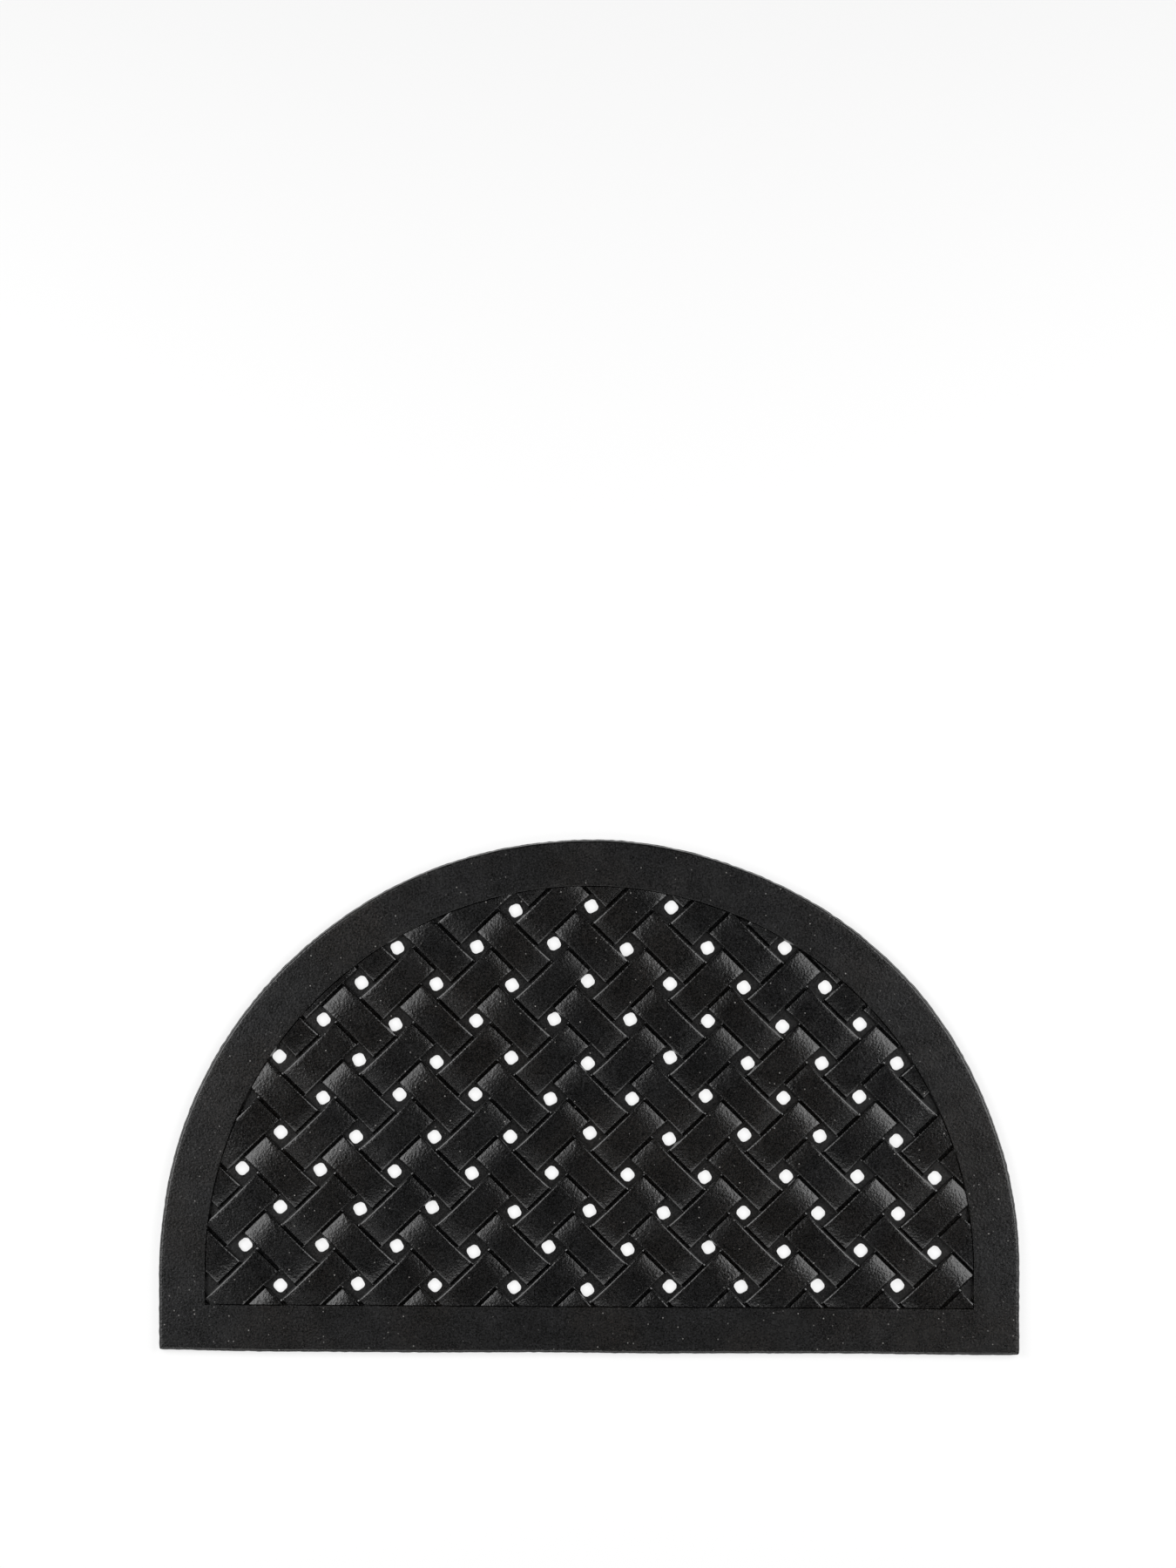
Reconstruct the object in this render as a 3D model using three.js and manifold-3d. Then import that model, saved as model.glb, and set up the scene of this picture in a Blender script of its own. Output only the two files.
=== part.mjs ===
// Half-round rubber door mat: a D-shaped rim round a thin drained sheet, with a basket weave of flat
// straps laid over the sheet. Millimetres, +Z up, X along the straight front edge, Y towards the crown
// of the half round. The origin is on the floor, under the middle of the mat's own width and depth.

import * as THREE from 'three';
import { mergeVertices } from 'three/addons/utils/BufferGeometryUtils.js';
import Module from 'manifold-3d';

const wasm = await Module();
wasm.setup();

// ---------------------------------------------------------------- driving dimensions
const MAT_WIDTH = 750;        // along the straight front edge
const SKIRT = 72;             // straight sides between the front edge and the half round
const THICKNESS = 9;          // floor to rim top
const FIT_GAP = 0.3;          // between any two pieces that seat on each other

const RIM_WIDTH = 40;         // flat border, seen from above
const RIM_EDGE_ROUND = 2;     // rounding of the outer top edge
const RIM_CORNER = 2.5;       // plan radius of the two front corners
const WINDOW_CORNER = 1;      // plan radius of the window's two front corners
const RIM_DRAFT = 1.5;        // how far the window's wall leans in on its way down

const SHEET_THICKNESS = 3;    // drained sheet under the weave
const SHEET_TUCK = 10;        // how far the sheet reaches under the rim

const CELL_X = 33.65;         // half of the weave's diamond, across the mat
const CELL_Y = 32.96;         // half of the weave's diamond, up the mat
const FIRST_HOLE_ROW = 57.2;  // front edge to the first row of drain holes

const STRAP_WIDTH = 25.2;     // flat top of a strap
const STRAP_DRAFT = 1.75;     // how far each side of a strap leans out on its way down
const GROOVE = 3.3;           // between a strap's dipped end and the strap that it passes under
const DIP = 2;                // how far a strap has dropped where it goes under
const DIP_LENGTH = 16.2;      // length of that drop
const UNDER_THICKNESS = 1.6;  // of a strap where another crosses over it
const EDGE_SHOW = 3;          // a strap is laid only where this much of its width is inside the rim

const HOLE_WIDTH = 10.8;      // drain hole, across its flats
const HOLE_CORNER = 3.8;      // its corner radius
const HOLE_TURN = 36;         // its mean turn, degrees
const HOLE_TURN_SCATTER = 10; // the holes are punched by hand, so each is turned and shifted a little
const HOLE_SCATTER = 3;

const ARC_STEPS = 72;         // facets round the half circle
const CORNER_STEPS = 3;       // facets round each front corner

const RUBBER = { color: 0x1d1e1f, roughness: 0.62, metalness: 0 };

// ---------------------------------------------------------------- sizes that follow from them
const MAT_DEPTH = SKIRT + MAT_WIDTH / 2;
const FRONT_Y = -MAT_DEPTH / 2;
const ARC_Y = FRONT_Y + SKIRT;

const SEAT_Z = SHEET_THICKNESS + FIT_GAP;
const UNDER_TOP_Z = SEAT_Z + UNDER_THICKNESS;
const OVER_UNDERSIDE_Z = UNDER_TOP_Z + FIT_GAP;

const PITCH = Math.hypot(CELL_X, CELL_Y);          // from one strap to the next beside it
const SEGMENT_HALF = PITCH - STRAP_WIDTH / 2 - GROOVE;
const SIDE_LEAN = STRAP_DRAFT / (THICKNESS - SEAT_Z);
const CLEAR_FLOOR = PITCH - STRAP_WIDTH - 2 * STRAP_DRAFT;
const HOLE_SHIFT = Math.min(HOLE_SCATTER, (CLEAR_FLOOR - HOLE_WIDTH) / 2);

const WEAVE_ORIGIN = new THREE.Vector3(0, FRONT_Y + FIRST_HOLE_ROW, 0);
const FALLING = new THREE.Vector3(CELL_X, -CELL_Y, 0).normalize();
const RISING = new THREE.Vector3(CELL_X, CELL_Y, 0).normalize();
const UP = new THREE.Vector3(0, 0, 1);

// ---------------------------------------------------------------- outline of the mat and what follows it

// The mat's outline moved inwards by `inset`, anticlockwise from the right end of the half round.
function outline(inset, corner) {
  const radius = MAT_WIDTH / 2 - inset;
  const frontY = FRONT_Y + inset;
  const points = [];
  for (let i = 0; i <= ARC_STEPS; i += 1) {
    const turn = (Math.PI * i) / ARC_STEPS;
    points.push(new THREE.Vector2(radius * Math.cos(turn), ARC_Y + radius * Math.sin(turn)));
  }
  for (const side of [-1, 1]) {
    const start = side < 0 ? Math.PI : 1.5 * Math.PI;
    for (let i = 0; i <= CORNER_STEPS; i += 1) {
      const turn = start + (0.5 * Math.PI * i) / CORNER_STEPS;
      points.push(new THREE.Vector2(
        side * (radius - corner) + corner * Math.cos(turn),
        frontY + corner + corner * Math.sin(turn),
      ));
    }
  }
  return points;
}

// A skin through rings of equal count. A closed profile joins the last ring to the first; an open one
// is closed with a flat cap at each end.
function loft(rings, closedProfile) {
  const count = rings[0].points.length;
  const position = [];
  const index = [];
  for (const { points, z } of rings) {
    for (const p of points) position.push(p.x, p.y, z);
  }
  const bands = closedProfile ? rings.length : rings.length - 1;
  for (let ring = 0; ring < bands; ring += 1) {
    const low = ring * count;
    const high = ((ring + 1) % rings.length) * count;
    for (let i = 0; i < count; i += 1) {
      const next = (i + 1) % count;
      index.push(low + i, low + next, high + next, low + i, high + next, high + i);
    }
  }
  if (!closedProfile) {
    const top = (rings.length - 1) * count;
    for (let i = 1; i < count - 1; i += 1) {
      index.push(0, i + 1, i);
      index.push(top, top + i, top + i + 1);
    }
  }
  const geometry = new THREE.BufferGeometry();
  geometry.setAttribute('position', new THREE.Float32BufferAttribute(position, 3));
  geometry.setIndex(index);
  return geometry;
}

// ---------------------------------------------------------------- solids for cutting

function toSolid(geometry) {
  const bare = geometry.clone();
  bare.deleteAttribute('normal');
  bare.deleteAttribute('uv');
  const merged = mergeVertices(bare, 1e-5);
  return new wasm.Manifold(new wasm.Mesh({
    numProp: 3,
    vertProperties: new Float32Array(merged.attributes.position.array),
    triVerts: new Uint32Array(merged.index.array),
  }));
}

function toGeometry(solid) {
  const mesh = solid.getMesh();
  const geometry = new THREE.BufferGeometry();
  geometry.setAttribute('position', new THREE.BufferAttribute(mesh.vertProperties, 3));
  geometry.setIndex(new THREE.BufferAttribute(mesh.triVerts, 1));
  return geometry;
}

function addPiece(group, name, geometry) {
  geometry.computeVertexNormals();
  const mesh = new THREE.Mesh(geometry, new THREE.MeshStandardMaterial(RUBBER));
  mesh.name = name;
  group.add(mesh);
}

// ---------------------------------------------------------------- rim

// Full thickness all round, with a rounded outer top edge and a rebate below for the drained sheet.
function rimGeometry() {
  const rings = [];
  const wall = (inset, z, corner) => rings.push({ points: outline(inset, corner), z });
  wall(0, 0, RIM_CORNER);
  const roundSteps = 3;
  for (let i = 0; i <= roundSteps; i += 1) {
    const turn = (0.5 * Math.PI * i) / roundSteps;
    const inset = RIM_EDGE_ROUND * (1 - Math.cos(turn));
    wall(inset, THICKNESS - RIM_EDGE_ROUND * (1 - Math.sin(turn)), RIM_CORNER);
  }
  wall(RIM_WIDTH, THICKNESS, WINDOW_CORNER);
  wall(RIM_WIDTH + RIM_DRAFT, SEAT_Z, WINDOW_CORNER);
  wall(RIM_WIDTH - SHEET_TUCK, SEAT_Z, WINDOW_CORNER);
  wall(RIM_WIDTH - SHEET_TUCK, 0, WINDOW_CORNER);
  return loft(rings, true);
}

// What fits inside the rim's window with a fitting gap all round: it trims the strap ends.
function windowSolid() {
  const wall = (lean, z) => ({ points: outline(RIM_WIDTH + lean + FIT_GAP, WINDOW_CORNER), z });
  return toSolid(loft([
    wall(RIM_DRAFT, 0),
    wall(RIM_DRAFT, SEAT_Z),
    wall(0, THICKNESS),
    wall(0, THICKNESS + 1),
  ], false));
}

// ---------------------------------------------------------------- drained sheet

// A repeatable scatter between -1 and 1 for the hole at this column and row.
function scatter(column, row, salt) {
  const value = Math.sin(column * 12.9898 + row * 78.233 + salt * 37.719) * 43758.5453;
  return 2 * (value - Math.floor(value)) - 1;
}

function holePath(centre, turn) {
  const path = new THREE.Path();
  const reach = HOLE_WIDTH / 2 - HOLE_CORNER;
  for (let quarter = 0; quarter < 4; quarter += 1) {
    const start = turn + 0.5 * Math.PI * quarter;
    const corner = new THREE.Vector2(reach, reach).rotateAround(new THREE.Vector2(), start).add(centre);
    path.absarc(corner.x, corner.y, HOLE_CORNER, start, start + 0.5 * Math.PI, false);
  }
  path.closePath();
  return path;
}

function insideWindow(point, margin) {
  const reach = MAT_WIDTH / 2 - RIM_WIDTH - margin;
  const frontY = FRONT_Y + RIM_WIDTH + margin;
  if (point.y < ARC_Y) return Math.abs(point.x) <= reach && point.y >= frontY;
  return Math.hypot(point.x, point.y - ARC_Y) <= reach;
}

// A hole lies in every gap of the weave whose middle is at least half a hole inside the window.
function holePaths() {
  const paths = [];
  const columns = Math.ceil(MAT_WIDTH / 2 / CELL_X);
  const rows = Math.ceil(MAT_DEPTH / CELL_Y);
  for (let row = 0; row <= rows; row += 1) {
    for (let column = -columns; column <= columns; column += 1) {
      const middle = new THREE.Vector2(column * CELL_X, WEAVE_ORIGIN.y + row * CELL_Y);
      if ((column + row) % 2 !== 0 || !insideWindow(middle, HOLE_WIDTH / 2)) continue;
      middle.x += HOLE_SHIFT * scatter(column, row, 1);
      middle.y += HOLE_SHIFT * scatter(column, row, 2);
      const turn = HOLE_TURN + HOLE_TURN_SCATTER * scatter(column, row, 3);
      paths.push(holePath(middle, THREE.MathUtils.degToRad(turn)));
    }
  }
  return paths;
}

function sheetGeometry() {
  const shape = new THREE.Shape(outline(RIM_WIDTH - SHEET_TUCK + FIT_GAP, WINDOW_CORNER));
  shape.holes = holePaths();
  return new THREE.ExtrudeGeometry(shape, { depth: SHEET_THICKNESS, bevelEnabled: false, curveSegments: 1 });
}

// ---------------------------------------------------------------- straps

// Places along the two strap directions: `falling` and `rising` of a point of the floor plan.
function alongStraps(point) {
  const acrossCells = point.x / CELL_X;
  const upCells = (point.y - WEAVE_ORIGIN.y) / CELL_Y;
  return {
    falling: (acrossCells - upCells) * PITCH / 2,
    rising: (acrossCells + upCells) * PITCH / 2,
  };
}

// Height of a strap's top at a distance from the middle of the crossing where it lies on top.
function topZ(distance) {
  const drop = Math.max(0, distance - (SEGMENT_HALF - DIP_LENGTH)) / DIP_LENGTH;
  return THICKNESS - DIP * drop * drop;
}

// Side view of a strap: flat crests over every second crossing, with a notch under each crest for the
// strap below and a thin stretch between the crests where the other straps cross over.
function sideShape(crests) {
  const dipSteps = 3;
  const notchHalf = STRAP_WIDTH / 2 + STRAP_DRAFT + FIT_GAP;
  const notchTopHalf = notchHalf - SIDE_LEAN * (OVER_UNDERSIDE_Z - SEAT_Z);
  const endZ = topZ(SEGMENT_HALF);
  const endHalf = SEGMENT_HALF + SIDE_LEAN * (endZ - UNDER_TOP_Z);
  const points = [];
  points.push(new THREE.Vector2(crests[0] - PITCH, SEAT_Z));
  for (const crest of crests) {
    points.push(new THREE.Vector2(crest - notchHalf, SEAT_Z));
    points.push(new THREE.Vector2(crest - notchTopHalf, OVER_UNDERSIDE_Z));
    points.push(new THREE.Vector2(crest + notchTopHalf, OVER_UNDERSIDE_Z));
    points.push(new THREE.Vector2(crest + notchHalf, SEAT_Z));
  }
  const last = crests[crests.length - 1];
  points.push(new THREE.Vector2(last + PITCH, SEAT_Z));
  points.push(new THREE.Vector2(last + PITCH, UNDER_TOP_Z));
  for (const crest of [...crests].reverse()) {
    points.push(new THREE.Vector2(crest + endHalf, UNDER_TOP_Z));
    for (const side of [1, -1]) {
      for (let i = 0; i <= dipSteps; i += 1) {
        const step = side > 0 ? i : dipSteps - i;
        const distance = SEGMENT_HALF - (DIP_LENGTH * step) / dipSteps;
        points.push(new THREE.Vector2(crest + side * distance, topZ(distance)));
      }
    }
    points.push(new THREE.Vector2(crest - endHalf, UNDER_TOP_Z));
  }
  points.push(new THREE.Vector2(crests[0] - PITCH, UNDER_TOP_Z));
  return new THREE.Shape(points);
}

function crossShape() {
  const topHalf = STRAP_WIDTH / 2;
  const seatHalf = topHalf + STRAP_DRAFT;
  return new THREE.Shape([
    new THREE.Vector2(-seatHalf, SEAT_Z),
    new THREE.Vector2(seatHalf, SEAT_Z),
    new THREE.Vector2(topHalf, THICKNESS),
    new THREE.Vector2(-topHalf, THICKNESS),
  ]);
}

// Extrudes a shape drawn in (along, up) by `length` to both sides, in the weave's own two directions.
function extrudeBothWays(shape, drawnAlong, pushedAlong, length, middle) {
  const geometry = new THREE.ExtrudeGeometry(shape, { depth: 2 * length, bevelEnabled: false });
  geometry.translate(0, 0, -length);
  const place = new THREE.Matrix4().makeBasis(drawnAlong, UP, pushedAlong);
  place.setPosition(middle);
  geometry.applyMatrix4(place);
  return toSolid(geometry);
}

// One strap. `along` and `across` are the weave's two directions, turned so that along, up and across
// make a right-handed set; `offset` is its place across, and `crests` are its high crossings.
function strapGeometry(along, across, offset, crests, clip) {
  const middle = WEAVE_ORIGIN.clone().addScaledVector(across, offset);
  const reach = MAT_WIDTH + MAT_DEPTH;
  const side = extrudeBothWays(sideShape(crests), along, across, STRAP_WIDTH, middle);
  const body = extrudeBothWays(crossShape(), across, along.clone().negate(), reach, middle);
  return toGeometry(side.intersect(body).intersect(clip));
}

function range(values) {
  return { low: Math.min(...values), high: Math.max(...values) };
}

// Odd multiples of half a pitch whose strap shows by at least EDGE_SHOW inside the window.
function strapPlaces({ low, high }) {
  const places = [];
  const reach = Math.ceil((MAT_WIDTH + MAT_DEPTH) / PITCH);
  for (let index = -2 * reach - 1; index <= 2 * reach + 1; index += 2) {
    const place = (index * PITCH) / 2;
    const shown = Math.min(high, place + STRAP_WIDTH / 2) - Math.max(low, place - STRAP_WIDTH / 2);
    if (shown >= EDGE_SHOW) places.push(index);
  }
  return places;
}

// The crossings are at odd half pitches too. A falling strap is on top in the odd rows of crossings, and
// a rising strap in the even rows, so each lies over and under in turn.
function crestPlaces(index, falling, span) {
  const crests = [];
  const reach = Math.ceil((span.high - span.low) / PITCH) + 4;
  for (let other = -2 * reach - 1; other <= 2 * reach + 1; other += 2) {
    const row = falling ? (index - other) / 2 : (other - index) / 2;
    const onTop = falling === (Math.abs(row) % 2 === 1);
    const place = (other * PITCH) / 2;
    const near = place > span.low - 2 * PITCH && place < span.high + 2 * PITCH;
    if (onTop && near) crests.push(place);
  }
  return crests;
}

function addStraps(group) {
  const clip = windowSolid();
  const rimPlaces = outline(RIM_WIDTH + FIT_GAP, WINDOW_CORNER).map(alongStraps);
  const fallingSpan = range(rimPlaces.map((place) => place.falling));
  const risingSpan = range(rimPlaces.map((place) => place.rising));

  strapPlaces(risingSpan).forEach((index, order) => {
    const crests = crestPlaces(index, true, fallingSpan);
    const across = RISING.clone().negate();
    const geometry = strapGeometry(FALLING, across, (-index * PITCH) / 2, crests, clip);
    addPiece(group, `strap_falling_${String(order + 1).padStart(2, '0')}`, geometry);
  });
  strapPlaces(fallingSpan).forEach((index, order) => {
    const crests = crestPlaces(index, false, risingSpan);
    const geometry = strapGeometry(RISING, FALLING, (index * PITCH) / 2, crests, clip);
    addPiece(group, `strap_rising_${String(order + 1).padStart(2, '0')}`, geometry);
  });
}

// ---------------------------------------------------------------- the mat

const mat = new THREE.Group();
addPiece(mat, 'rim', rimGeometry());
addPiece(mat, 'drained_sheet', sheetGeometry());
addStraps(mat);

export default mat;
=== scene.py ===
import math

import bpy
import numpy as np
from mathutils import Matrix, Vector, noise


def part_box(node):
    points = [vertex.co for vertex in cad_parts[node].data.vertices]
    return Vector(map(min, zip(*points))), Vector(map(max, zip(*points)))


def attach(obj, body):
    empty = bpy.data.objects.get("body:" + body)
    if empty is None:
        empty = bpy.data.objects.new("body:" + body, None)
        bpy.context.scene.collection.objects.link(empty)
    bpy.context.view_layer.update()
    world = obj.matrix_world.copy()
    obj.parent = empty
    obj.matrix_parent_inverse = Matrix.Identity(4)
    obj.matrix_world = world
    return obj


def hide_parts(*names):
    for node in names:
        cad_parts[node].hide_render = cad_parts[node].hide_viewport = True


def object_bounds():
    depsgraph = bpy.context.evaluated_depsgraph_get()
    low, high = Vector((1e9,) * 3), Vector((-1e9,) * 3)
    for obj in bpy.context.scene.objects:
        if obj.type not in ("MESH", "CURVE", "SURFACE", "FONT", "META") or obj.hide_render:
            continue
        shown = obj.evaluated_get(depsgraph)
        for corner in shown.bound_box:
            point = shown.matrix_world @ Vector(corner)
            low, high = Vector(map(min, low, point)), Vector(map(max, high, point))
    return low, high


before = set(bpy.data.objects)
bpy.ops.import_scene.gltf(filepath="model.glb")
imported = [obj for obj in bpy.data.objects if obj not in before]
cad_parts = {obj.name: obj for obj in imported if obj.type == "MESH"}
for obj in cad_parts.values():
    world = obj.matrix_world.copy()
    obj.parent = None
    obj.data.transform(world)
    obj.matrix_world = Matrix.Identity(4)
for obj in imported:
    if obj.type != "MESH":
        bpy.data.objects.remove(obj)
cad_low, cad_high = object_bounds()
mm = 0.001


# ------------------------------------------------------------------------------------- camera
# The mat lies flat on the floor and is seen from straight above, in the lower half of a tall view. The
# view takes in 1.365 m of floor from top to bottom, and the mat lies a fraction of a degree askew in it.
view_height = 1.365
view_middle = (-3.6 * mm, 272 * mm)
askew = math.radians(0.33)

camera_data = bpy.data.cameras.new("camera_above")
camera_data.lens = 150
camera_data.sensor_width = 36
camera_data.clip_end = 100
camera = bpy.data.objects.new("camera_above", camera_data)
bpy.context.scene.collection.objects.link(camera)
camera_distance = view_height * camera_data.lens / camera_data.sensor_width
camera.location = (*view_middle, cad_high.z + camera_distance)
camera.rotation_euler = (0, 0, askew)
bpy.context.scene.camera = camera


# ---------------------------------------------------------------------------------------- rim
# The flat border of the mat, in black moulded rubber. It comes out of the press with a leaning outer
# wall, a rounded shoulder and a thin ragged lip of flash along the floor where the press closes.
rim_low, rim_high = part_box("rim")
rim_width = 40 * mm
front_y = rim_low.y
half_width = rim_high.x
arc_y = rim_high.y - half_width
crest_z = rim_high.z
seat_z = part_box("strap_rising_05")[0].z
sheet_gap = 0.3 * mm
sheet_tuck = rim_width - (half_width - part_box("drained_sheet")[1].x) + sheet_gap
window_draft = 1.5 * mm
window_corner = 1 * mm

arc_steps = 800
front_steps = 480
side_steps = 48
corner_steps = 5
quarter_turn = math.pi / 2


def run(start, end, steps):
    """Points from start towards end, without the end itself."""
    share = np.arange(steps)[:, None] / steps
    return np.array(start) * (1 - share) + np.array(end) * share


def turn_round(centre, radius, start, end, steps):
    """Points on an arc from one angle towards another, without its last point."""
    angles = start + (end - start) * np.arange(steps) / steps
    return np.array(centre) + radius * np.column_stack([np.cos(angles), np.sin(angles)])


def outline(inset, corner):
    """The mat's outline moved in by inset, anticlockwise from the right end of the half round."""
    radius = half_width - inset
    front = front_y + inset
    left, right = corner - radius, radius - corner
    return np.vstack([
        turn_round((0, arc_y), radius, 0, math.pi, arc_steps),
        run((-radius, arc_y), (-radius, front + corner), side_steps),
        turn_round((left, front + corner), corner, 2 * quarter_turn, 3 * quarter_turn, corner_steps),
        run((left, front), (right, front), front_steps),
        turn_round((right, front + corner), corner, 3 * quarter_turn, 4 * quarter_turn, corner_steps),
        run((radius, front + corner), (radius, arc_y), side_steps),
    ])


def outward(points):
    """The direction out of a closed anticlockwise outline at each of its points."""
    along = np.roll(points, -1, axis=0) - np.roll(points, 1, axis=0)
    normal = np.column_stack([along[:, 1], -along[:, 0]])
    return normal / np.linalg.norm(normal, axis=1, keepdims=True)


def waver(points, spread, depth):
    """The outline pushed in and out by up to about depth, in waves about spread long."""
    push = np.array([noise.noise(Vector((x, y, 0.3)) / spread) for x, y in points])
    return points + outward(points) * (push * depth)[:, None]


def placed(name, vertices, faces):
    """A new object at the origin, with a mesh of these faces."""
    mesh = bpy.data.meshes.new(name)
    mesh.from_pydata(vertices, [], faces)
    made = bpy.data.objects.new(name, mesh)
    bpy.context.scene.collection.objects.link(made)
    return made


def loft(name, rings, closed):
    """A skin over rings of equal count. A closed one joins its last ring to its first."""
    count = len(rings[0][0])
    vertices = [(x, y, z) for points, z in rings for x, y in points]
    faces = []
    for ring in range(len(rings) if closed else len(rings) - 1):
        low, high = ring * count, (ring + 1) % len(rings) * count
        for i in range(count):
            j = (i + 1) % count
            faces.append((low + i, low + j, high + j, high + i))
    if not closed:
        faces.append(tuple(range(count))[::-1])
        faces.append(tuple(range((len(rings) - 1) * count, len(rings) * count)))
    return placed(name, vertices, faces)


def soften(piece, degrees):
    """Smooth shading, with sharp edges where the surface turns by more than the angle."""
    piece.data.shade_smooth()
    piece.data.set_sharp_from_angle(angle=math.radians(degrees))


def node(tree, kind, *inputs, **settings):
    """A new node with its first inputs set or linked. An input given as None is left alone."""
    made = tree.nodes.new(kind)
    for key, value in settings.items():
        setattr(made, key, value)
    for socket, value in zip(made.inputs, inputs):
        if isinstance(value, bpy.types.NodeSocket):
            tree.links.new(value, socket)
        elif value is not None:
            socket.default_value = value
    return made


def maths(tree, operation, *values):
    return node(tree, "ShaderNodeMath", *values, operation=operation).outputs[0]


def spread_between(tree, value, low, high, to_low, to_high, smooth=False):
    """Maps value from low..high to to_low..to_high, held at both ends."""
    kind = "SMOOTHSTEP" if smooth else "LINEAR"
    made = node(tree, "ShaderNodeMapRange", value, low, high, to_low, to_high, interpolation_type=kind)
    return made.outputs[0]


def scaled(tree, vector, factor):
    made = node(tree, "ShaderNodeVectorMath", vector, operation="SCALE")
    tree.links.new(factor, made.inputs["Scale"])
    return made.outputs[0]


def soft_spots(tree, place, per_metre, detail, roughness):
    """A random pattern of soft spots, mostly between 0.3 and 0.7."""
    return node(tree, "ShaderNodeTexNoise", place, None, per_metre, detail, roughness).outputs["Fac"]


def rubber_colour(tree, place, tone):
    """Near black, cloudy and finely speckled, and a little browner here and there."""
    clouds = soft_spots(tree, place, per_metre=22, detail=5, roughness=0.6)
    specks = soft_spots(tree, place, per_metre=640, detail=3, roughness=0.7)
    brown_spots = soft_spots(tree, place, per_metre=9, detail=3, roughness=0.55)
    cloudy = spread_between(tree, clouds, 0.3, 0.7, 0.6, 1.4)
    speckled = spread_between(tree, specks, 0.44, 0.7, 0.2, 5)
    browned = spread_between(tree, brown_spots, 0.42, 0.6, 0, 1, smooth=True)
    hue = node(tree, "ShaderNodeMix", data_type="RGBA")
    hue.inputs["A"].default_value = (tone, tone, 1.05 * tone, 1)
    hue.inputs["B"].default_value = (1.15 * tone, tone, 0.9 * tone, 1)
    tree.links.new(browned, hue.inputs["Factor"])
    return scaled(tree, hue.outputs["Result"], maths(tree, "MULTIPLY", cloudy, speckled))


def dusted(tree, place, colour, dust):
    """The colour with a pale grain of dust in a share of its cells, which are about 4 mm wide."""
    cells_per_metre = 230
    dust_colour = (0.27, 0.26, 0.25, 1)
    cells = node(tree, "ShaderNodeTexVoronoi", place, None, cells_per_metre)
    near = spread_between(tree, cells.outputs["Distance"], 0.1, 0.16, 1, 0)
    lot, paleness, _ = node(tree, "ShaderNodeSeparateColor", cells.outputs["Color"]).outputs
    chosen = maths(tree, "GREATER_THAN", lot, 1 - dust)
    strength = maths(tree, "MULTIPLY", maths(tree, "MULTIPLY", near, chosen), paleness)
    mixed = node(tree, "ShaderNodeMix", data_type="RGBA")
    mixed.inputs["B"].default_value = dust_colour
    tree.links.new(strength, mixed.inputs["Factor"])
    tree.links.new(colour, mixed.inputs["A"])
    return mixed.outputs["Result"]


def rubber_roughness(tree, place, roughness, groove_polish):
    """Worn in patches and finely mottled about one roughness, and smoother by groove_polish low down."""
    wear = 0.035
    mottle = 0.08
    polished_below = 4.8 * mm
    dull_above = 6 * mm
    patches = soft_spots(tree, place, per_metre=55, detail=4, roughness=0.65)
    flecks = soft_spots(tree, place, per_metre=760, detail=2, roughness=0.6)
    worn = spread_between(tree, patches, 0.3, 0.7, roughness - wear, roughness + wear)
    mottled = spread_between(tree, flecks, 0.3, 0.7, -mottle, mottle)
    height = node(tree, "ShaderNodeSeparateXYZ", place).outputs["Z"]
    polish = spread_between(tree, height, polished_below, dull_above, groove_polish, 0)
    return maths(tree, "SUBTRACT", maths(tree, "ADD", worn, mottled), polish)


def pebbled(tree, place, grain):
    """The surface's direction where small pebbles and creases stand up by about grain."""
    pebbles_per_metre = 680
    pebble_share = 0.2
    cells = node(tree, "ShaderNodeTexVoronoi", place, None, pebbles_per_metre, feature="SMOOTH_F1")
    pebbles = maths(tree, "MULTIPLY", cells.outputs["Distance"], pebble_share)
    creases = soft_spots(tree, place, per_metre=480, detail=1, roughness=0.5)
    bump = node(tree, "ShaderNodeBump")
    bump.inputs["Strength"].default_value = 1
    bump.inputs["Distance"].default_value = grain
    tree.links.new(maths(tree, "ADD", pebbles, creases), bump.inputs["Height"])
    return bump.outputs["Normal"]


def moulded_rubber(name, tone, roughness, grain, dust, groove_polish=0):
    """Black rubber with a pebbled grain, a cloudy tone, and pale dust caught in it here and there.
    Grooves that feet don't reach may keep more of the mould's polish."""
    material = bpy.data.materials.new(name)
    material.use_nodes = True
    tree = material.node_tree
    shader = tree.nodes["Principled BSDF"]
    shader.inputs["IOR"].default_value = 1.5
    shader.inputs["Metallic"].default_value = 0
    place = node(tree, "ShaderNodeTexCoord").outputs["Object"]
    colour = dusted(tree, place, rubber_colour(tree, place, tone), dust)
    tree.links.new(colour, shader.inputs["Base Color"])
    tree.links.new(rubber_roughness(tree, place, roughness, groove_polish), shader.inputs["Roughness"])
    tree.links.new(pebbled(tree, place, grain), shader.inputs["Normal"])
    return material


def quarter_round(steps):
    """Points round a quarter circle. One share of the radius grows from 0 to 1 as the other shrinks."""
    angles = [math.radians(90 * step / steps) for step in range(steps + 1)]
    return [(1 - math.cos(angle), 1 - math.sin(angle)) for angle in angles]


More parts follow.
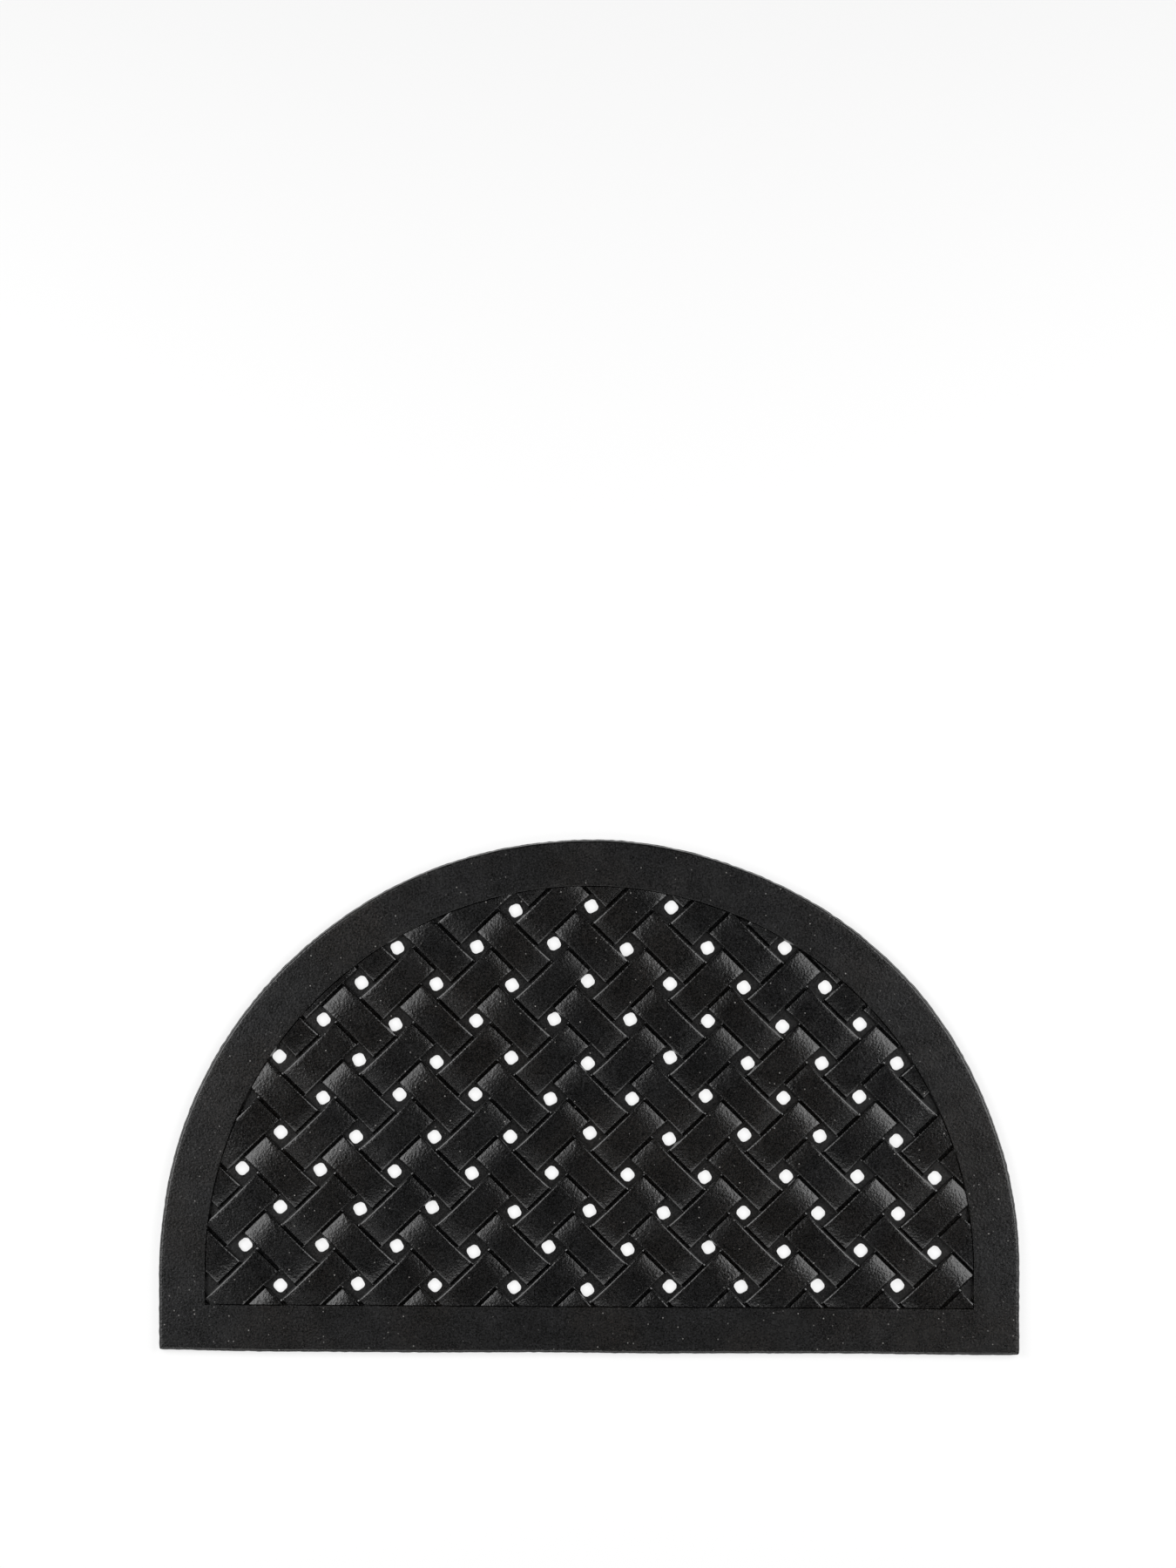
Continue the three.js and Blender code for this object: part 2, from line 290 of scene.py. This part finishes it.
def rim_rings():
    """The rim's section from the flash lip up, over the top and down into the window, drawn round."""
    wall_lean = 0.9 * mm
    shoulder_width = 2.3 * mm
    shoulder_drop = 1.5 * mm
    lip = 0.35 * mm
    lip_top = 0.7 * mm
    front_corner = 2 * mm
    least_corner = 0.5 * mm
    flat_insets = np.arange(6, 38, 4) * mm
    window_edge = 0.4 * mm
    section = [(lip, 0), (0, 0.12 * mm), (0, 0.4 * mm), (lip, lip_top), (lip + 0.03 * mm, 1.1 * mm)]
    section += [
        (wall_lean + shoulder_width * inward, crest_z - shoulder_drop * down)
        for inward, down in quarter_round(6)
    ]
    rings = []
    for inset, z in section:
        points = outline(inset, max(front_corner - inset, least_corner))
        points = waver(points, spread=130 * mm, depth=1.3 * mm)
        points = waver(points, spread=11 * mm, depth=0.22 * mm)
        if z < lip_top:
            points = waver(points, spread=5 * mm, depth=0.35 * mm)
        rings.append((points, z))
    for inset in (*flat_insets, rim_width - 2 * window_edge):
        rings.append((outline(inset, window_corner), crest_z))
    for down, outside in quarter_round(3):
        inset = rim_width - window_edge * outside
        rings.append((outline(inset, window_corner), crest_z - window_edge * down))
    rings.append((outline(rim_width + window_draft, window_corner), seat_z))
    rings.append((outline(rim_width - sheet_tuck, window_corner), seat_z))
    rings.append((outline(rim_width - sheet_tuck, window_corner), 0))
    return rings


rim_rubber = moulded_rubber("rim_rubber", tone=0.0034, roughness=0.315, grain=0.2 * mm, dust=0.24)
rim = loft("moulded_rim", rim_rings(), closed=True)
rim.data.materials.append(rim_rubber)
soften(rim, degrees=80)
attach(rim, "root")
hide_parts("rim")


# ------------------------------------------------------------------------------ drained sheet
# The thin flat web under the weave, in the same rubber. One drain hole is punched through the floor of
# each gap between the straps, and no two are alike: each is a little turned, shifted and ragged.
cell_x = 33.65 * mm
cell_y = 32.96 * mm
hole_rows = 12
hole_columns_each_way = 12
first_hole_row = 57.2 * mm
hole_width = 10.8 * mm
hole_corner = 3.8 * mm
hole_corner_steps = 9
hole_turn = 36
hole_turn_scatter = 10
hole_scatter = 3 * mm
sheet_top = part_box("drained_sheet")[1].z


def scatter(column, row, salt):
    """The same repeatable scatter, between -1 and 1, as the model's drain holes have."""
    value = math.sin(column * 12.9898 + row * 78.233 + salt * 37.719) * 43758.5453
    return 2 * (value - math.floor(value)) - 1


def inside_window(x, y, margin):
    reach = half_width - rim_width - margin
    if y < arc_y:
        return abs(x) <= reach and y >= front_y + rim_width + margin
    return math.hypot(x, y - arc_y) <= reach


def hole_places():
    """The middle and the turn of each drain hole."""
    places, turns = [], []
    for row in range(hole_rows):
        for column in range(-hole_columns_each_way, hole_columns_each_way + 1):
            x, y = column * cell_x, front_y + first_hole_row + row * cell_y
            if (column + row) % 2 == 0 and inside_window(x, y, hole_width / 2):
                x += hole_scatter * scatter(column, row, 1)
                y += hole_scatter * scatter(column, row, 2)
                places.append((x, y, 0))
                turns.append(math.radians(hole_turn + hole_turn_scatter * scatter(column, row, 3)))
    made = placed("hole_places", places, [])
    made.data.attributes.new("turn", "FLOAT", "POINT").data.foreach_set("value", turns)
    return made


def hole_punch():
    """A rounded square pin that goes right through the sheet."""
    reach = hole_width / 2 - hole_corner
    past_sheet = 2 * mm
    middles = [(reach, reach), (-reach, reach), (-reach, -reach), (reach, -reach)]
    corners = []
    for order, middle in enumerate(middles):
        start, end = order * quarter_turn, (order + 1) * quarter_turn
        corners.append(turn_round(middle, hole_corner, start, end, hole_corner_steps))
    points = np.vstack(corners)
    return loft("hole_punch", [(points, -past_sheet), (points, sheet_top + past_sheet)], closed=False)


def new_tree(name, inputs):
    """An empty Geometry Nodes tree with named inputs after its geometry."""
    tree = bpy.data.node_groups.new(name, "GeometryNodeTree")
    tree.interface.new_socket("Geometry", in_out="INPUT", socket_type="NodeSocketGeometry")
    for label, kind in inputs:
        tree.interface.new_socket(label, in_out="INPUT", socket_type="NodeSocket" + kind)
    tree.interface.new_socket("Geometry", in_out="OUTPUT", socket_type="NodeSocketGeometry")
    return tree, node(tree, "NodeGroupInput").outputs


def end_tree(tree, geometry, material):
    real = node(tree, "GeometryNodeRealizeInstances", geometry).outputs[0]
    painted = node(tree, "GeometryNodeSetMaterial", real, None, material).outputs[0]
    node(tree, "NodeGroupOutput", painted)


def grow(name, blank, tree, values):
    """The plain mesh that a tree makes of a blank, as a new object. The blank is used up."""
    modifier = blank.modifiers.new("grow", "NODES")
    modifier.node_group = tree
    for item in tree.interface.items_tree:
        if item.in_out == "INPUT" and item.name in values:
            modifier[item.identifier] = values[item.name]
    graph = bpy.context.evaluated_depsgraph_get()
    mesh = bpy.data.meshes.new_from_object(blank.evaluated_get(graph))
    blank.modifiers.remove(modifier)
    bpy.data.objects.remove(blank)
    mesh.name = name
    made = bpy.data.objects.new(name, mesh)
    bpy.context.scene.collection.objects.link(made)
    return made


def centred_noise(tree, place, per_metre):
    """A random direction at each place, centred on zero."""
    rough = node(tree, "ShaderNodeTexNoise", place, None, per_metre, 2, 0.5).outputs["Color"]
    return node(tree, "ShaderNodeVectorMath", rough, (0.5, 0.5, 0.5), operation="SUBTRACT").outputs[0]


def punching_tree():
    """Stands a turned pin at each place, makes the pins ragged all the way up, and punches them through."""
    inputs = [("Places", "Object"), ("Punch", "Object"), ("Raggedness", "Float"), ("Material", "Material")]
    tree, given = new_tree("punched holes", inputs)
    places = node(tree, "GeometryNodeObjectInfo", given["Places"]).outputs["Geometry"]
    punch = node(tree, "GeometryNodeObjectInfo", given["Punch"]).outputs["Geometry"]
    turn = node(tree, "GeometryNodeInputNamedAttribute", "turn").outputs["Attribute"]
    turned = node(tree, "ShaderNodeCombineXYZ", 0, 0, turn).outputs[0]
    points = node(tree, "GeometryNodeMeshToPoints", places).outputs[0]
    pins = node(tree, "GeometryNodeInstanceOnPoints", points, None, punch, None, None, turned).outputs[0]
    real = node(tree, "GeometryNodeRealizeInstances", pins).outputs[0]

    where = node(tree, "GeometryNodeInputPosition").outputs[0]
    flat = node(tree, "ShaderNodeVectorMath", where, (1, 1, 0), operation="MULTIPLY").outputs[0]
    push = centred_noise(tree, flat, per_metre=420)
    level = node(tree, "ShaderNodeVectorMath", push, (1, 1, 0), operation="MULTIPLY").outputs[0]
    shift = scaled(tree, level, given["Raggedness"])
    ragged = node(tree, "GeometryNodeSetPosition", real, None, None, shift).outputs[0]

    cut = node(tree, "GeometryNodeMeshBoolean", given["Geometry"], ragged,
               operation="DIFFERENCE", solver="MANIFOLD").outputs[0]
    end_tree(tree, cut, given["Material"])
    return tree


sheet_rubber = moulded_rubber("sheet_rubber", tone=0.003, roughness=0.34, grain=0.15 * mm, dust=0.12)
sheet_outline = outline(rim_width - sheet_tuck + sheet_gap, window_corner)
plate = loft("sheet_plate", [(sheet_outline, 0), (sheet_outline, sheet_top)], closed=False)
places, punch = hole_places(), hole_punch()
sheet = grow("punched_sheet", plate, punching_tree(), {
    "Places": places,
    "Punch": punch,
    "Raggedness": 0.7 * mm,
    "Material": sheet_rubber,
})
bpy.data.objects.remove(places)
bpy.data.objects.remove(punch)
soften(sheet, degrees=40)
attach(sheet, "root")
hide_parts("drained_sheet")


# -------------------------------------------------------------------------------------- straps
# Flat rubber straps in two directions, moulded as a plain basket weave: each lies over one strap and
# under the next. Each crest is level with the rim, dips at both ends and stops at a crisp groove.
pitch = math.hypot(cell_x, cell_y)
strap_half = 13.1 * mm
strap_draft = 1.25 * mm
groove = 3.1 * mm
dip = 2.8 * mm
dip_power = 3
under_top = seat_z + 0.6 * mm
notch_roof = seat_z + 1.9 * mm
notch_half = strap_half + strap_draft + 0.3 * mm
notch_top_half = notch_half - 0.6 * mm
crest_half = pitch - strap_half - groove
# The rounded upper edge: how far in from the strap's side and down from its top, in mm.
edge_round = ((1.1, 0), (0.97, 0.03), (0.58, 0.17), (0.16, 0.33), (0.03, 0.45), (0, 0.7))
# The first strap of each family, in half pitches to the side of weave_origin.
first_falling = -9
first_rising = -15
strap_count = 13

weave_origin = Vector((0, front_y + first_hole_row, 0))
falling = Vector((cell_x, -cell_y, 0)).normalized()
rising = Vector((cell_x, cell_y, 0)).normalized()


def strap_section():
    """The closed section of a straight bar. Points near +1 ride on the strap's top line, and points near
    -1 on its bottom line."""
    top_shares = (0.7, 0.4, 0.13, -0.13, -0.4, -0.7)
    edge = [(strap_half - inward * mm, 1 - down * mm) for inward, down in edge_round]
    points = edge[::-1] + [(strap_half * share, 1) for share in top_shares]
    points += [(-y, ride) for y, ride in edge]
    points += [(-strap_half, -1), (0, -1), (strap_half, -1)]
    return points


def stations(low, high, crest):
    """Places along a strap, closest together where its crests end and where its notches begin."""
    # In mm, from a crest's middle, from a notch's side and from the end of a crest.
    along_crest = (0, 3, 6, 9, 12, 17, 19, 21, 23, 25, 26.5, 28, 37, 42)
    near_notch = (-1, -0.6, -0.3, 0, 0.6)
    near_end = (-2, -1.2, -0.6, -0.2, -0.1, 0, 0.1, 0.2, 0.3, 0.5, 1, 2.8)
    least_step = 0.2 * mm
    crests_each_way = 12
    distances = [step * mm for step in along_crest]
    distances += [notch_half + step * mm for step in near_notch]
    distances += [crest_half + step * mm for step in near_end]
    found = []
    for order in range(-crests_each_way, crests_each_way + 1):
        middle = crest + 2 * pitch * order
        found += [middle + side * distance for side in (-1, 1) for distance in distances]
        found.append(middle + pitch)
    inner = sorted(x for x in set(found) if low + least_step < x < high - least_step)
    return [low] + inner + [high]


def strap_blank(name, low, high, crest):
    """The straight bar that becomes a strap, lying along x."""
    section = strap_section()
    places = stations(low, high, crest)
    count = len(section)
    vertices = [(x, y, ride) for x in places for y, ride in section]
    faces = [tuple(range(count))[::-1]]
    for step in range(len(places) - 1):
        here, there = step * count, (step + 1) * count
        for i in range(count):
            j = (i + 1) % count
            faces.append((here + j, there + j, there + i, here + i))
    faces.append(tuple(range((len(places) - 1) * count, len(places) * count)))
    return placed(name, vertices, faces)


def top_line(tree, from_crest):
    """The height of a strap's top: level, dipping towards the crest's end, then down under the next."""
    fall = spread_between(tree, from_crest, 0, crest_half, 0, 1)
    dipped = maths(tree, "MULTIPLY", maths(tree, "POWER", fall, dip_power), dip)
    crown = maths(tree, "SUBTRACT", crest_z, dipped)
    step_start = crest_half - 0.2 * mm
    step_end = crest_half + 0.5 * mm
    past_end = spread_between(tree, from_crest, step_start, step_end, 0, 1, smooth=True)
    drop = maths(tree, "MULTIPLY", past_end, maths(tree, "SUBTRACT", crown, under_top))
    return maths(tree, "SUBTRACT", crown, drop)


def weaving_tree():
    """Bends a straight bar into one strap of the weave, lays it in place and trims it to the window."""
    inputs = [("Crest", "Float"), ("Along", "Vector"), ("Across", "Vector"), ("Place", "Vector"),
              ("Window", "Object"), ("Waver", "Float"), ("Material", "Material")]
    tree, given = new_tree("woven strap", inputs)
    place = node(tree, "GeometryNodeInputPosition").outputs[0]
    x, y, ride = node(tree, "ShaderNodeSeparateXYZ", place).outputs

    from_crest = maths(tree, "PINGPONG", maths(tree, "SUBTRACT", x, given["Crest"]), pitch)
    top = top_line(tree, from_crest)
    bottom = spread_between(tree, from_crest, notch_top_half, notch_half, notch_roof, seat_z)
    is_top = maths(tree, "GREATER_THAN", ride, 0)
    height = node(tree, "ShaderNodeMix", data_type="FLOAT")
    tree.links.new(is_top, height.inputs["Factor"])
    tree.links.new(maths(tree, "ADD", maths(tree, "ADD", bottom, ride), 1), height.inputs["A"])
    tree.links.new(maths(tree, "SUBTRACT", maths(tree, "ADD", top, ride), 1), height.inputs["B"])
    z = height.outputs["Result"]

    lean = strap_draft / (crest_z - seat_z) / strap_half
    widen = maths(tree, "ADD", maths(tree, "MULTIPLY", maths(tree, "SUBTRACT", crest_z, z), lean), 1)
    wide_y = maths(tree, "MULTIPLY", y, widen)

    def added(a, b):
        return node(tree, "ShaderNodeVectorMath", a, b, operation="ADD").outputs[0]

    up = node(tree, "ShaderNodeCombineXYZ", 0, 0, z).outputs[0]
    in_plan = added(scaled(tree, given["Along"], x), scaled(tree, given["Across"], wide_y))
    laid = added(in_plan, added(given["Place"], up))
    push = centred_noise(tree, laid, per_metre=38)
    final = added(laid, scaled(tree, push, given["Waver"]))

    moved = node(tree, "GeometryNodeSetPosition", given["Geometry"], None, final).outputs[0]
    window = node(tree, "GeometryNodeObjectInfo", given["Window"]).outputs["Geometry"]
    trimmed = node(tree, "GeometryNodeMeshBoolean", operation="INTERSECT", solver="MANIFOLD")
    tree.links.new(moved, trimmed.inputs[1])
    tree.links.new(window, trimmed.inputs[1])
    end_tree(tree, trimmed.outputs[0], given["Material"])
    return tree


def window_block():
    """What fills the rim's window with a hair of room to spare, and a crisp groove along its top edge. It
    trims the ends of the straps."""
    room = 0.06 * mm
    seam_width = 0.85 * mm
    seam_depth = 2.2 * mm
    above = 2 * mm
    lean_there = window_draft * seam_depth / (crest_z - seat_z)
    walls = [(window_draft, 0), (window_draft, seat_z), (lean_there, crest_z - seam_depth),
             (seam_width, crest_z), (seam_width, crest_z + above)]
    rings = [(outline(rim_width + lean + room, window_corner), z) for lean, z in walls]
    return loft("window_block", rings, closed=False)


def lay_straps(family, first, along, across, sideways, crest_step):
    """One family of parallel straps. Each is a piece of its own, trimmed where it meets the rim."""
    spare = 2 * strap_half
    for order in range(strap_count):
        index = first + 2 * order
        cad_node = f"strap_{family}_{order + 1:02d}"
        low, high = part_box(cad_node)
        middle = weave_origin + sideways * (index * pitch / 2)
        start = (low.x - middle.x) / along.x - spare
        end = (high.x - middle.x) / along.x + spare
        crest = (index + crest_step) * pitch / 2
        blank = strap_blank(cad_node + "_blank", start, end, crest)
        strap = grow(f"woven_{family}_{order + 1:02d}", blank, weave_tree, {
            "Crest": crest,
            "Along": along,
            "Across": across,
            "Place": middle,
            "Window": window,
            "Waver": 0.25 * mm,
            "Material": strap_rubber,
        })
        soften(strap, degrees=35)
        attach(strap, "root")
        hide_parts(cad_node)


strap_rubber = moulded_rubber("strap_rubber", tone=0.0025, roughness=0.27, grain=0.24 * mm, dust=0.15,
                              groove_polish=0.13)
weave_tree = weaving_tree()
window = window_block()
lay_straps("falling", first_falling, falling, rising, rising, crest_step=-2)
lay_straps("rising", first_rising, rising, -falling, falling, crest_step=0)
bpy.data.objects.remove(window)


# ------------------------------------------------------------------------- floor and lights
# A plain white floor that glows, so that it stays white all over. Two broad soft lamps stand behind the
# mat's left and right shoulders, and a wider one stands in front. The world is white to look at and gives
# almost no light.
floor_half = 12
floor_z = -0.1 * mm
corner_signs = ((-1, -1), (1, -1), (1, 1), (-1, 1))
floor_corners = [(x * floor_half, y * floor_half, floor_z) for x, y in corner_signs]
floor = placed("floor", floor_corners, [(0, 1, 2, 3)])
floor_paint = bpy.data.materials.new("white_floor")
floor_paint.use_nodes = True
floor_shader = floor_paint.node_tree.nodes["Principled BSDF"]
floor_shader.inputs["Base Color"].default_value = (0.3, 0.3, 0.3, 1)
floor_shader.inputs["Roughness"].default_value = 0.9
floor_shader.inputs["Specular IOR Level"].default_value = 0.1
floor_shader.inputs["Emission Color"].default_value = (1, 1, 1, 1)
floor_shader.inputs["Emission Strength"].default_value = 0.68
floor.data.materials.append(floor_paint)


def lamp(name, place, width, depth, watts):
    """A soft oblong lamp that points at the middle of the mat."""
    data = bpy.data.lights.new(name, "AREA")
    data.shape = "RECTANGLE"
    data.size = width
    data.size_y = depth
    data.energy = watts
    made = bpy.data.objects.new(name, data)
    bpy.context.scene.collection.objects.link(made)
    made.location = place
    made.rotation_euler = (-Vector(place)).to_track_quat("-Z", "Y").to_euler()


lamp("lamp_left", (-1.12, 0.31, 1.2), width=1.1, depth=1.1, watts=20)
lamp("lamp_right", (1.12, 0.31, 1.2), width=1.1, depth=1.1, watts=19.5)
lamp("lamp_front", (0, -1.65, 1.73), width=2.2, depth=1.1, watts=21)

world_light = 0.01
world_seen = 1
world = bpy.data.worlds.new("sky")
bpy.context.scene.world = world
world.use_nodes = True
is_seen = node(world.node_tree, "ShaderNodeLightPath").outputs["Is Camera Ray"]
strength = spread_between(world.node_tree, is_seen, 0, 1, world_light, world_seen)
background = world.node_tree.nodes["Background"]
background.inputs["Color"].default_value = (1, 1, 1, 1)
world.node_tree.links.new(strength, background.inputs["Strength"])

bpy.context.scene.view_settings.view_transform = "Standard"
bpy.context.scene.view_settings.look = "None"
